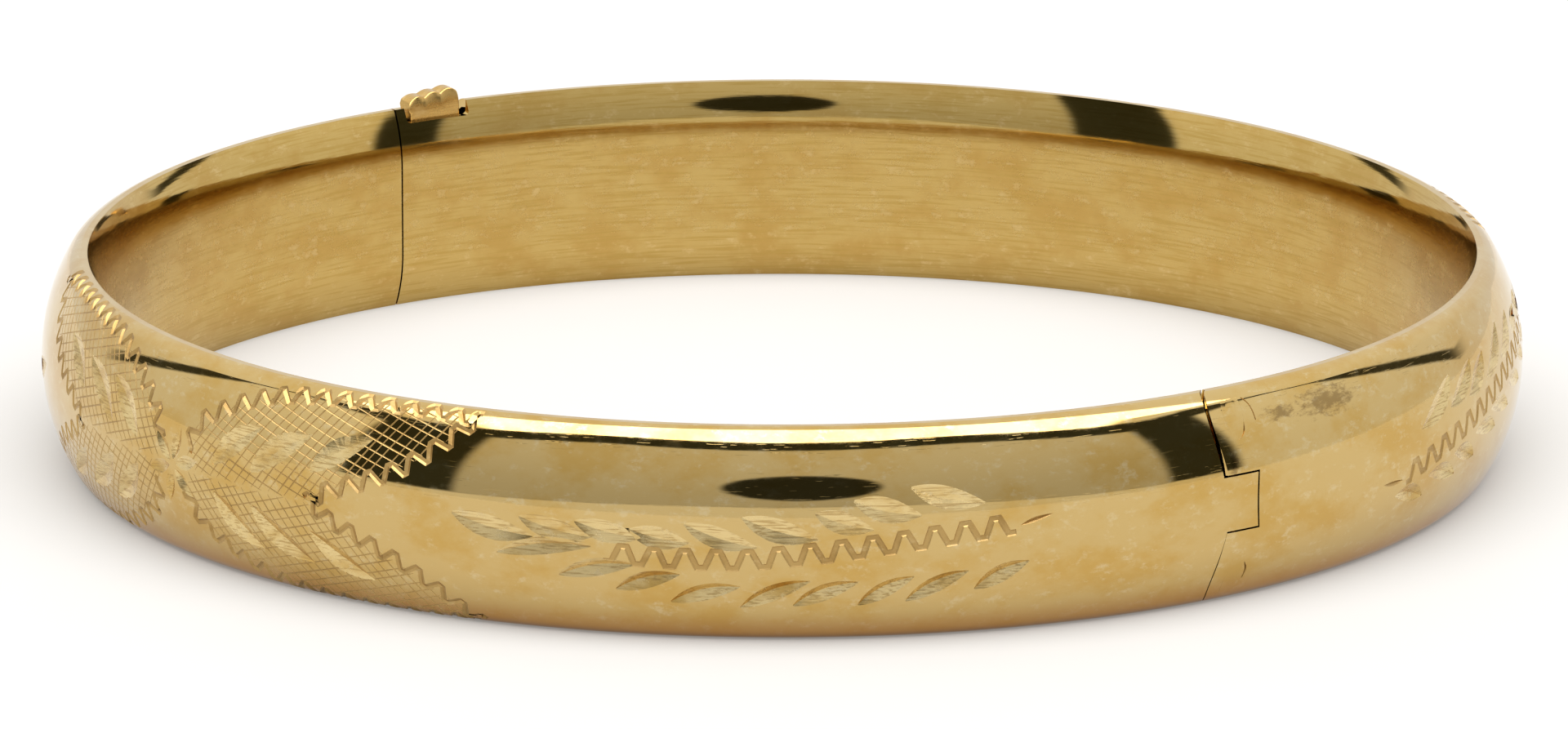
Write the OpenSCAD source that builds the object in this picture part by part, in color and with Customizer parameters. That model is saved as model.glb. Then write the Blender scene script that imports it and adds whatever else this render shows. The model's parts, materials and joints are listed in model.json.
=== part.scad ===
// Hinged hollow bangle with a V-spring tongue clasp.
// The band's axis is Z. The hinge is on +X and the clasp on -X.
// The front half lies at y < 0 and the back half at y > 0.

/* [Band] */
// Inside diameter of the closed bangle
inner_d = 58.6; // [57:0.2:62]
// Width of the band, measured along the wrist
band_w = 9; // [9:0.1:9.4]
// Thickness of the band at its crown
band_t = 2.6; // [2.6:0.05:2.75]
// Thickness of the sheet that both shells are made of
wall = 0.35; // [0.3:0.01:0.35]
// Width of the flat part of the inside wall
flat_w = 3.9; // [3.7:0.1:4.1]
// Distance of the rim seam from the inside wall
rim_r = 0.63; // [0.6:0.01:0.66]
// Radius of the shell's corner beside the seam
corner_r = 1; // [0.9:0.05:1.05]
// Gap between the two halves where they meet
joint_gap = 0.08; // [0.06:0.01:0.1]

/* [Hinge] */
// Depth of the hinge axis below the crown of the band
pin_depth = 0.95; // [0.94:0.01:0.98]
// Distance of the hinge axis behind the plane where the halves meet
pin_back = 0.75; // [0.7:0.01:0.8]
// Radius of the knuckles, which the band's surface trims flush
knuckle_r = 1.15; // [1.13:0.01:1.16]
// Height of the front half's knuckle, which sits in the middle
knuckle_h = 2.4; // [2:0.1:2.6]
// Running clearance round the knuckles
knuckle_gap = 0.05; // [0.04:0.01:0.06]
// Outside radius of the hinge tubes
tube_r = 0.5; // [0.46:0.01:0.5]
// Radius of the hinge pin
pin_r = 0.26; // [0.24:0.01:0.28]
// Length of the pin between its two plugs
pin_len = 6; // [5.6:0.1:6.2]
// Depth of the solid blocks that hold the hinge tubes
block_len = 3; // [2.6:0.1:3.4]

/* [Clasp] */
// Thickness of the plates that close the halves at the clasp
plate_t = 0.45; // [0.4:0.01:0.46]
// Width of the tongue, measured through the band
tongue_w = 0.8; // [0.7:0.05:0.8]
// How far the tongue's fold lies inside the front half
tongue_reach = 5.5; // [5:0.1:5.6]
// Thickness of the tongue's leaves
leaf_t = 0.3; // [0.26:0.01:0.32]
// Length of the rim notch that the thumb piece stands in
notch_len = 3.2; // [3:0.1:3.6]
// Depth of the rim notch
notch_depth = 0.65; // [0.6:0.01:0.66]
// Height of the thumb piece above the rim
thumb_rise = 0.65; // [0.5:0.05:0.75]

/* [Hidden] */
$fn = 128;

polished = "goldenrod";
satin = "darkgoldenrod";
spring_gold = "khaki";

wrist_r = inner_d / 2;               // radius of the inside wall
half_w = band_w / 2;                 // height of each rim above the middle of the band
flat_z = flat_w / 2;                 // where the inside wall starts to curl outwards
dome_h = band_t - rim_r;             // height of the dome above the seam
land_trim = 0.03;                    // filed off the corners, so that each rim has a flat land
corner_z = half_w + land_trim - corner_r; // height of the corner's centre
edge_r = rim_r - 0.05;               // where the inside wall reaches the rim
curl_r = ((half_w - flat_z) ^ 2 + edge_r ^ 2) / (2 * edge_r);
dome_r = (dome_h ^ 2 + corner_z ^ 2 - corner_r ^ 2) / (2 * (dome_h - corner_r));
dome_x = wrist_r + band_t - dome_r;  // centre of the dome's arc, in the profile
dome_angle = atan2(corner_z, dome_r - dome_h);
reach = 3 * wrist_r;                 // longer than the whole bangle

hinge_x = wrist_r + band_t - pin_depth;
bore_r = pin_r + 0.02;               // the tubes turn freely on the pin
knuckle_z = knuckle_h / 2;
knuckle_play = 0.04;                 // clearance above and below the middle knuckle

tongue_x = -(wrist_r + 1);           // middle of the tongue at the joint
swing_r = norm([hinge_x - tongue_x, pin_back]); // the tongue is bent to this radius about the hinge
slot_play = 0.05;                    // clearance on each side of the tongue in its slots
base_z = 0.6;                        // underside of the base leaf
fold_y = -tongue_reach;
fold_z = base_z + leaf_t + 0.15;
bead_r = 0.2;                        // radius of the fold
fold_play = 0.02;
neck_z = 2.2;                        // underside of the catch leaf where it leaves the slot
shoulder_z = 2.75;                   // top of the catch's shoulder
shoulder_y = -(joint_gap / 2 + plate_t + 0.13);
notch_y = joint_gap / 2 + plate_t + 0.02;
thumb_y = notch_y + 0.24;
thumb_len = notch_len - 0.6;
thumb_in = wrist_r + 0.55;           // inner face of the thumb piece
stem_out = wrist_r + 1.12;           // outer face of its stem, inside the shell
head_out = wrist_r + 1.4;            // outer face of its head, above the notch
seat_z = 3.05;                       // top of the catch leaf's seat under the thumb piece
head_z = 4.45;                       // where the head begins

// ---------- profile of the band, x is the radius and y is the height ----------

// Everything outside the inside wall, moved outwards by inset.
module outside_of_wall(inset) {
    translate([wrist_r + inset, -flat_z]) square([reach, flat_w]);
    translate([wrist_r + curl_r, -reach]) square([reach, 2 * reach]);
    for (side = [-1, 1])
        translate([wrist_r + curl_r, side * flat_z]) circle(r = curl_r - inset);
}

// Everything under the dome, moved inwards by inset.
module under_dome(inset) {
    intersection() {
        translate([dome_x, 0]) circle(r = dome_r - inset);
        polygon([
            [dome_x, 0],
            [dome_x + reach * cos(dome_angle), reach * sin(dome_angle)],
            [dome_x + reach * cos(dome_angle), -reach * sin(dome_angle)],
        ]);
    }
    for (side = [-1, 1])
        translate([wrist_r + rim_r, side * corner_z]) circle(r = corner_r - inset);
    translate([wrist_r - 1, -(half_w - inset)]) square([1 + rim_r, 2 * (half_w - inset)]);
}

module band_height() { translate([0, -half_w]) square([reach, band_w]); }

module band_profile() {
    intersection() {
        outside_of_wall(0);
        under_dome(0);
        band_height();
    }
}

module hollow_profile() {
    intersection() {
        outside_of_wall(wall);
        under_dome(wall);
    }
}

module shell_profile() {
    intersection() {
        difference() {
            under_dome(0);
            under_dome(wall);
        }
        translate([wrist_r + rim_r, -half_w]) square([reach, band_w]);
    }
}

module lining_profile() {
    intersection() {
        difference() {
            outside_of_wall(0);
            outside_of_wall(wall);
        }
        translate([wrist_r - 1, -half_w]) square([1 + rim_r, band_w]);
    }
}

module solid_band() { rotate_extrude() band_profile(); }
module hollow_space() { rotate_extrude() hollow_profile(); }

// ---------- helpers ----------

// Everything is drawn about the middle of the band, then stood on its lower rim.
module lift() { translate([0, 0, half_w]) children(); }

// A block between two heights y0 and y1 along Y, over the whole bangle.
module slice_y(y0, y1) {
    translate([-reach, y0, -reach]) cube([2 * reach, y1 - y0, 2 * reach]);
}

module at_hinge() { translate([hinge_x, pin_back, 0]) children(); }

// A cylinder on the hinge axis between two heights.
module hinge_rod(r, z0, z1) {
    at_hinge() translate([0, 0, z0]) cylinder(r = r, h = z1 - z0);
}

// The middle part of a hinge cylinder, or its two outer parts.
module middle_rod(r, z) { hinge_rod(r, -z, z); }
module outer_rods(r, z) {
    hinge_rod(r, z, half_w + 1);
    hinge_rod(r, -half_w - 1, -z);
}

// The space that the front half may fill: it owns the middle knuckle and the neck behind it.
module front_region() {
    neck_h = 2 * (knuckle_z - knuckle_play);
    difference() {
        slice_y(-reach, -joint_gap / 2);
        outer_rods(knuckle_r + knuckle_gap, knuckle_z - knuckle_play);
    }
    middle_rod(knuckle_r, knuckle_z - knuckle_play);
    translate([hinge_x, -joint_gap, -neck_h / 2]) cube([band_t, joint_gap + pin_back, neck_h]);
}

// The space that the back half may fill: it owns the two outer knuckles.
module back_region() {
    difference() {
        slice_y(joint_gap / 2, reach);
        middle_rod(knuckle_r + knuckle_gap, knuckle_z + knuckle_play);
        // outside the axis only the knuckles reach forward, so that this half can swing
        translate([hinge_x, -1, -half_w - 1]) cube([band_t, 1 + pin_back, band_w + 2]);
    }
    outer_rods(knuckle_r, knuckle_z + knuckle_play);
}

// A side outline, drawn with y to the right and z up, as a prism across the clasp.
module across_clasp(x0, x1) {
    translate([x0, 0, 0]) rotate([90, 0, 90]) linear_extrude(height = x1 - x0) children();
}

// A strip of the given width, bent about the hinge axis so that it slides out of its slot.
module swing_strip(width) {
    at_hinge() difference() {
        translate([0, 0, -half_w]) cylinder(r = swing_r + width / 2, h = 2 * half_w, $fn = 256);
        translate([0, 0, -half_w - 1])
            cylinder(r = swing_r - width / 2, h = 2 * half_w + 2, $fn = 256);
    }
}

// A leaf of the tongue: its side outline, bent with the strip.
module tongue_leaf() {
    intersection() {
        swing_strip(tongue_w);
        across_clasp(tongue_x - 1.5, tongue_x + 2.5) children();
    }
}

// The slot for the tongue, between two heights.
module tongue_slot(z0, z1) {
    translate([tongue_x - tongue_w / 2 - slot_play, -2, z0])
        cube([tongue_w + 2 * slot_play, 4, z1 - z0]);
}

module rim_notch() {
    translate([-wrist_r - band_t - 1, notch_y, half_w - notch_depth])
        cube([band_t + 3, notch_len, 2]);
    // relief behind the lining, where the stem moves down
    difference() {
        translate([-wrist_r - 1.2, notch_y, seat_z]) cube([2, notch_len, 2]);
        translate([0, 0, -reach]) cylinder(r = thumb_in - 0.04, h = 2 * reach);
    }
}

// ---------- front half ----------

module front_outer_shell() {
    color(polished) lift() intersection() {
        rotate_extrude() shell_profile();
        front_region();
    }
}

module front_inner_lining() {
    color(satin) lift() intersection() {
        rotate_extrude() lining_profile();
        front_region();
    }
}

module front_hinge_block() {
    color(satin) lift() difference() {
        intersection() {
            hollow_space();
            front_region();
            translate([0, -block_len, -reach]) cube([reach, block_len + 2, 2 * reach]);
        }
        hinge_rod(tube_r, -half_w, half_w);
    }
}

module centre_hinge_tube() {
    color(spring_gold) lift() intersection() {
        difference() {
            middle_rod(tube_r, knuckle_z - knuckle_play);
            middle_rod(bore_r, half_w);
        }
        hollow_space();
    }
}

module front_clasp_plate() {
    color(satin) lift() difference() {
        intersection() {
            hollow_space();
            translate([-reach, -joint_gap / 2 - plate_t, -reach]) cube([reach, plate_t, 2 * reach]);
        }
        tongue_slot(base_z - 0.1, shoulder_z + 0.1);
    }
}

// An open channel behind the slot, in which the tongue slides.
module tongue_guide() {
    guide_wall = 0.15;
    guide_top = 2.1;
    color(satin) lift() intersection() {
        difference() {
            swing_strip(tongue_w + 2 * slot_play + 2 * guide_wall);
            intersection() {
                swing_strip(tongue_w + 2 * slot_play);
                translate([-reach, -reach, base_z - 0.1]) cube([2 * reach, 2 * reach, reach]);
            }
        }
        translate([-reach, -tongue_reach, base_z - 0.1 - guide_wall])
            cube([reach, tongue_reach - joint_gap / 2 - plate_t, guide_top - base_z + 0.1 + guide_wall]);
    }
}

// ---------- back half ----------

module back_outer_shell() {
    color(polished) lift() difference() {
        intersection() {
            rotate_extrude() shell_profile();
            back_region();
        }
        outer_rods(tube_r, knuckle_z);
        rim_notch();
    }
}

module back_inner_lining() {
    color(satin) lift() difference() {
        intersection() {
            rotate_extrude() lining_profile();
            back_region();
        }
        outer_rods(tube_r, knuckle_z);
        rim_notch();
    }
}

module back_hinge_block() {
    color(satin) lift() difference() {
        intersection() {
            hollow_space();
            back_region();
            translate([0, -2, -reach]) cube([reach, block_len + 2, 2 * reach]);
        }
        hinge_rod(tube_r, -half_w, half_w);
    }
}

// A tube on the hinge axis, filed flush with the band. side is 1 for the upper one.
module outer_hinge_tube(side) {
    z0 = knuckle_z + knuckle_play;
    color(spring_gold) lift() intersection() {
        mirror([0, 0, side > 0 ? 0 : 1]) difference() {
            hinge_rod(tube_r, z0, half_w);
            hinge_rod(bore_r, 0, half_w + 1);
        }
        solid_band();
    }
}

module upper_hinge_tube() { outer_hinge_tube(1); }
module lower_hinge_tube() { outer_hinge_tube(-1); }

module hinge_pin() {
    color(spring_gold) lift() hinge_rod(pin_r, -pin_len / 2, pin_len / 2);
}

// A plug that closes the tube over the end of the pin, filed flush with the band.
module hinge_plug(side) {
    color(polished) lift() intersection() {
        mirror([0, 0, side > 0 ? 0 : 1]) hinge_rod(bore_r, pin_len / 2, half_w);
        solid_band();
    }
}

module upper_hinge_plug() { hinge_plug(1); }
module lower_hinge_plug() { hinge_plug(-1); }

module back_clasp_plate() {
    color(satin) lift() difference() {
        intersection() {
            hollow_space();
            translate([-reach, joint_gap / 2, -reach]) cube([reach, plate_t, 2 * reach]);
        }
        tongue_slot(base_z - slot_play, neck_z + leaf_t + 0.1);
    }
}

// A block soldered inside the back half, which carries the base leaf.
module tongue_anchor() {
    anchor_y = notch_y + notch_len + 0.4;
    anchor_len = 2.4;
    anchor_h = 2.6;
    color(satin) lift() intersection() {
        hollow_space();
        translate([-reach, anchor_y, base_z - anchor_h]) cube([reach, anchor_len, anchor_h]);
    }
}

module tongue_base_leaf() {
    base_len = tongue_reach + notch_y + notch_len + 2.6;
    color(spring_gold) lift() tongue_leaf() {
        translate([fold_y, base_z]) square([base_len, leaf_t]);
        translate([fold_y, fold_z]) circle(r = bead_r);
        translate([fold_y, base_z + leaf_t / 2]) circle(r = leaf_t / 2);
    }
}

// ---------- catch: the sprung leaf and its thumb piece ----------

module catch_leaf() {
    eye_r = bead_r + fold_play + 0.23;
    eye_z = base_z + leaf_t + 0.07;
    color(spring_gold) lift() tongue_leaf() {
        difference() {
            translate([fold_y, fold_z]) circle(r = eye_r);
            translate([fold_y, fold_z]) circle(r = bead_r + fold_play);
            translate([fold_y - 2, eye_z - 2]) square([4, 2]);
        }
        polygon([
            [fold_y + 0.22, fold_z + 0.18], [shoulder_y, neck_z], [thumb_y - 0.05, neck_z],
            [thumb_y + 0.35, seat_z - leaf_t], [thumb_y + thumb_len, seat_z - leaf_t],
            [thumb_y + thumb_len, seat_z], [thumb_y + 0.25, seat_z],
            [thumb_y - 0.2, neck_z + leaf_t], [shoulder_y, neck_z + leaf_t],
            [shoulder_y, shoulder_z], [shoulder_y - 0.3, shoulder_z],
            [fold_y + 0.04, fold_z + eye_r - 0.06],
        ]);
    }
}

// A stem in the notch under a head with four grip ridges.
module thumb_piece() {
    ridges = 4;
    ridge_r = thumb_len / ridges / 2 + 0.04;
    top_z = half_w + thumb_rise;
    color(polished) lift() difference() {
        union() {
            intersection() {
                translate([0, 0, seat_z]) cylinder(r = stem_out, h = top_z - seat_z - 0.2);
                translate([-reach, thumb_y + 0.25, 0]) cube([reach, thumb_len - 0.25, reach]);
            }
            intersection() {
                translate([0, 0, head_z]) cylinder(r = head_out, h = 2);
                across_clasp(-wrist_r - band_t, -wrist_r + 1) {
                    translate([thumb_y, head_z]) square([thumb_len, top_z - head_z - ridge_r]);
                    for (i = [0 : ridges - 1])
                        translate([thumb_y + thumb_len * (i + 0.5) / ridges, top_z - ridge_r])
                            circle(r = ridge_r);
                }
            }
        }
        cylinder(r = thumb_in, h = 3 * half_w);
        translate([-reach, thumb_y + thumb_len, 0]) cube([2 * reach, reach, reach]);
        translate([-reach, thumb_y - reach, 0]) cube([2 * reach, reach, reach]);
    }
}

front_outer_shell();
front_inner_lining();
front_hinge_block();
centre_hinge_tube();
front_clasp_plate();
tongue_guide();
back_outer_shell();
back_inner_lining();
back_hinge_block();
upper_hinge_tube();
lower_hinge_tube();
hinge_pin();
upper_hinge_plug();
lower_hinge_plug();
back_clasp_plate();
tongue_anchor();
tongue_base_leaf();
catch_leaf();
thumb_piece();
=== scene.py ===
"""A hinged gold bangle: the engraved shells, the lining, the hinge, the clasp and a pale studio."""

import json
import math

import bpy
import numpy as np
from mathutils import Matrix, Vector

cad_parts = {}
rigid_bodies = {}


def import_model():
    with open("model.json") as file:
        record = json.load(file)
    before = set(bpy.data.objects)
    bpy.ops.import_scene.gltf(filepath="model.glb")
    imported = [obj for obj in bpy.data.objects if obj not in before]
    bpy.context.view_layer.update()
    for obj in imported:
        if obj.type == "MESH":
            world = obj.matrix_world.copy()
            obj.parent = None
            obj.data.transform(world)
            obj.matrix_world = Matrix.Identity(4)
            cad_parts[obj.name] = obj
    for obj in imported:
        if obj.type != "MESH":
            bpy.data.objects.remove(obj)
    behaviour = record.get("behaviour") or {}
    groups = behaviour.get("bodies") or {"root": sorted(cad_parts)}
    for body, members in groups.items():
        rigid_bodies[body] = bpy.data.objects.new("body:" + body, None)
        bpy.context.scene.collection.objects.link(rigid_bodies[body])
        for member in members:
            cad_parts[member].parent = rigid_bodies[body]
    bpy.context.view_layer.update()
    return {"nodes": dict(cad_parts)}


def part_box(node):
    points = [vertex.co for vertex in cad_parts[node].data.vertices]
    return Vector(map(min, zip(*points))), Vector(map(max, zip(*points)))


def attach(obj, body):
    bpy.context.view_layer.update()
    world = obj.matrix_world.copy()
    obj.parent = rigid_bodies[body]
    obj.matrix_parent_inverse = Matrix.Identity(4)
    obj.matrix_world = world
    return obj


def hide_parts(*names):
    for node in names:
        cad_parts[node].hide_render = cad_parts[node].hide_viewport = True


bl_info = {
    "name": "Engraved Bangle",
    "version": (1, 0, 0),
    "blender": (4, 5, 0),
    "location": "View3D > Sidebar > Bangle",
    "description": "Builds the looks of a hinged, engraved bangle round its CAD frame",
    "category": "Add Mesh",
}

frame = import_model()

MM = 0.001

# ---------- sizes of the band, in millimetres, as in the CAD ----------
WRIST_R = 29.3  # inside wall
HALF_W = 4.5  # half the band's width
BAND_T = 2.6  # from the inside wall to the crown
RIM_R = 0.63  # from the inside wall to the rim seam
EDGE_R = 0.58  # where the inside wall reaches the rim
CORNER_R = 1.0  # radius of the dome's two corners
LAND_TRIM = 0.03  # what the narrow flat on each rim has taken off the corners
WALL = 0.35  # thickness of the sheet
FLAT_Z = 1.95  # half the width of the inside wall's flat middle
CROWN_R = WRIST_R + BAND_T
CORNER_Z = HALF_W + LAND_TRIM - CORNER_R
DOME_H = BAND_T - RIM_R
DOME_R = (DOME_H**2 + CORNER_Z**2 - CORNER_R**2) / (2 * (DOME_H - CORNER_R))
DOME_X = CROWN_R - DOME_R
DOME_ANGLE = math.atan2(CORNER_Z, DOME_R - DOME_H)
CURL_R = ((HALF_W - FLAT_Z) ** 2 + EDGE_R**2) / (2 * EDGE_R)

JOINT_GAP = 0.08
HINGE_X = CROWN_R - 0.95
PIN_BACK = 0.75  # the pin stands this far behind the joint
KNUCKLE_R = 1.15
KNUCKLE_GAP = 0.05  # round a knuckle
KNUCKLE_Z = 1.2  # half the height of the middle knuckle
KNUCKLE_PLAY = 0.04  # above and below it
SEAT_WEAR = 0.13  # extra width of the worn seat of the upper knuckle
TUBE_R = 0.5
SHELL_OVERRUN = 3.2  # how far a shell is spun past the joint, before the hinge is cut
LINING_OVERRUN = 0.05 * WRIST_R
SHELL_STEPS = 216  # steps of the spins
LINING_STEPS = 180
ROD_SIDES = 96

NOTCH_Y = JOINT_GAP / 2 + 0.45 + 0.02
NOTCH_LEN = 3.2
NOTCH_DEPTH = 0.65

# ---------- where the engraving is, in millimetres along the crown from the hinge ----------
FRONT_BOW = -49.3
BACK_BOW = 50.2
BOW_REACH = 15.5  # from a bow's middle to where its branches begin

# ---------- material slots of the engraved shells ----------
POLISHED, BRIGHT_CUT, LINE_CUT, SAWN = range(4)
SLOTS = 4


# ---------- small helpers ----------


def deselect():
    """Nothing selected and nothing active, in object mode."""
    for o in bpy.context.view_layer.objects:
        o.select_set(False)
    bpy.context.view_layer.objects.active = None


def only(piece):
    """Makes piece the one selected and active object."""
    deselect()
    piece.select_set(True)
    bpy.context.view_layer.objects.active = piece
    return piece


def added(name):
    """The primitive just added, renamed."""
    piece = bpy.context.object
    piece.name = name
    piece.data.name = name
    return piece


def coords(piece):
    """The piece's vertices, one row each, in metres."""
    co = np.empty(len(piece.data.vertices) * 3)
    piece.data.vertices.foreach_get("co", co)
    return co.reshape(-1, 3)


def set_coords(piece, co):
    piece.data.vertices.foreach_set("co", np.asarray(co, dtype=float).ravel())
    piece.data.update()


def apply_modifier(piece, kind, **settings):
    """Adds a modifier with these settings and applies it."""
    only(piece)
    modifier = piece.modifiers.new(kind.title(), kind)
    for key, value in settings.items():
        setattr(modifier, key, value)
    bpy.ops.object.modifier_apply(modifier=modifier.name)


def boolean(piece, other, operation="DIFFERENCE"):
    """Cuts other from piece, or joins it on, and removes other."""
    apply_modifier(piece, "BOOLEAN", operation=operation, solver="MANIFOLD", object=other)
    bpy.data.objects.remove(other, do_unlink=True)


def box_mm(name, low, high):
    """A cube between two corners given in millimetres, about the band's middle."""
    low, high = Vector(low), Vector(high)
    deselect()
    centre = (low + high) / 2 + Vector((0, 0, HALF_W))
    bpy.ops.mesh.primitive_cube_add(size=1, location=centre * MM, scale=(high - low) * MM)
    bpy.ops.object.transform_apply(location=True, rotation=True, scale=True)
    return added(name)


def rod_mm(name, x, y, radius, z0, z1):
    """An upright cylinder, in millimetres, between two heights about the band's middle."""
    deselect()
    bpy.ops.mesh.primitive_cylinder_add(
        vertices=ROD_SIDES, radius=radius * MM, depth=(z1 - z0) * MM,
        location=(x * MM, y * MM, ((z0 + z1) / 2 + HALF_W) * MM),
    )
    bpy.ops.object.transform_apply(location=True, rotation=True, scale=True)
    return added(name)


# ---------- the band's section ----------


def dome_point(t):
    """Radius, height and outward normal at arc distance t from the crown, in millimetres."""
    t = np.asarray(t, dtype=float)
    side = np.sign(t)
    far = np.abs(t)
    on_dome = far <= DOME_R * DOME_ANGLE
    angle = np.where(on_dome, far / DOME_R, DOME_ANGLE + (far - DOME_R * DOME_ANGLE) / CORNER_R)
    angle = np.minimum(angle, math.pi / 2)
    radius = np.where(on_dome, DOME_X + DOME_R * np.cos(angle), WRIST_R + RIM_R + CORNER_R * np.cos(angle))
    height = np.where(on_dome, DOME_R * np.sin(angle), CORNER_Z + CORNER_R * np.sin(angle))
    return radius, side * height, np.cos(angle), side * np.sin(angle)


def on_band(s, t, h):
    """Points in metres at distance s along the crown from the hinge, t across it and h above the surface."""
    radius, height, nr, nz = dome_point(t)
    radius = radius + h * nr
    angle = np.asarray(s) / CROWN_R
    z = height + h * nz + HALF_W
    return np.stack([radius * np.cos(angle), radius * np.sin(angle), z], axis=-1) * MM


def dome_outline(inset, dome_steps, corner_steps, flat):
    """Section points of the dome from the lower rim to the upper one. inset is how far they lie inside the
    surface, and flat is the height at which the rims are cut off."""
    dome = np.linspace(-DOME_ANGLE, DOME_ANGLE, dome_steps + 1)
    lip = math.asin(min(1.0, (flat - CORNER_Z) / (CORNER_R - inset)))
    corner = np.linspace(DOME_ANGLE, lip, corner_steps + 1)[1:]
    upper_r = WRIST_R + RIM_R + (CORNER_R - inset) * np.cos(corner)
    upper_z = CORNER_Z + (CORNER_R - inset) * np.sin(corner)
    r = np.concatenate([upper_r[::-1], DOME_X + (DOME_R - inset) * np.cos(dome), upper_r])
    z = np.concatenate([-upper_z[::-1], (DOME_R - inset) * np.sin(dome), upper_z])
    return list(zip(r, z))


def spin_section(name, section, start, end, steps):
    """Spins a closed section, given in millimetres, about the band's axis, and closes both ends."""
    deselect()
    bpy.ops.mesh.primitive_circle_add(vertices=len(section), radius=MM, fill_type="NOTHING")
    piece = added(name)
    points = np.array(section)
    turn = np.array([math.cos(start), math.sin(start)])
    co = np.column_stack([points[:, 0] * turn[0], points[:, 0] * turn[1], points[:, 1] + HALF_W]) * MM
    set_coords(piece, co)
    only(piece)
    bpy.ops.object.mode_set(mode="EDIT")
    bpy.ops.mesh.select_all(action="SELECT")
    bpy.ops.mesh.spin(steps=steps, angle=start - end, center=(0, 0, 0), axis=(0, 0, 1))
    bpy.ops.mesh.select_all(action="SELECT")
    bpy.ops.mesh.remove_doubles(threshold=1e-7)
    bpy.ops.mesh.fill_holes(sides=0)
    bpy.ops.mesh.select_all(action="SELECT")
    bpy.ops.mesh.normals_make_consistent(inside=False)
    bpy.ops.object.mode_set(mode="OBJECT")
    # the sense of the spin is not the same in every version, so the result is checked
    turned = coords(piece)
    middle = (start + end) / 2
    if float((turned @ np.array([math.cos(middle), math.sin(middle), 0])).sum()) < 0:
        raise RuntimeError(f"{name} was spun the wrong way")
    return piece


def shell_section():
    """The domed sheet, from rim seam to rim seam and back along its inside."""
    outer = dome_outline(0, 36, 8, HALF_W)
    inner = dome_outline(WALL, 16, 4, HALF_W - WALL)[::-1]
    rim = WRIST_R + RIM_R
    return [(rim, -HALF_W), *outer, (rim, HALF_W), (rim, HALF_W - WALL), *inner[1:-1], (rim, -HALF_W + WALL)]


# ---------- engraving cutters ----------


def resample(points, spacing):
    """Points along a polyline at about this spacing, the last one included."""
    points = np.asarray(points, dtype=float)
    steps = np.hypot(*np.diff(points, axis=0).T)
    along = np.concatenate([[0], np.cumsum(steps)])
    count = max(2, int(round(along[-1] / spacing)) + 1)
    at = np.linspace(0, along[-1], count)
    return np.column_stack([np.interp(at, along, points[:, 0]), np.interp(at, along, points[:, 1])])


def smooth_line(points, spacing):
    """A Catmull-Rom curve through given points."""
    p = np.asarray(points, dtype=float)
    p = np.vstack([2 * p[0] - p[1], p, 2 * p[-1] - p[-2]])
    out = []
    for a, b, c, d in zip(p[:-3], p[1:-2], p[2:-1], p[3:]):
        for f in np.linspace(0, 1, 8, endpoint=False):
            curve = (2 * a - 5 * b + 4 * c - d) * f**2 + (3 * b - a - 3 * c + d) * f**3
            out.append(0.5 * (2 * b + (c - a) * f + curve))
    out.append(p[-2])
    return resample(out, spacing)


LIFT = 0.06  # how far the cutters stand proud of the surface, in millimetres


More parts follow.
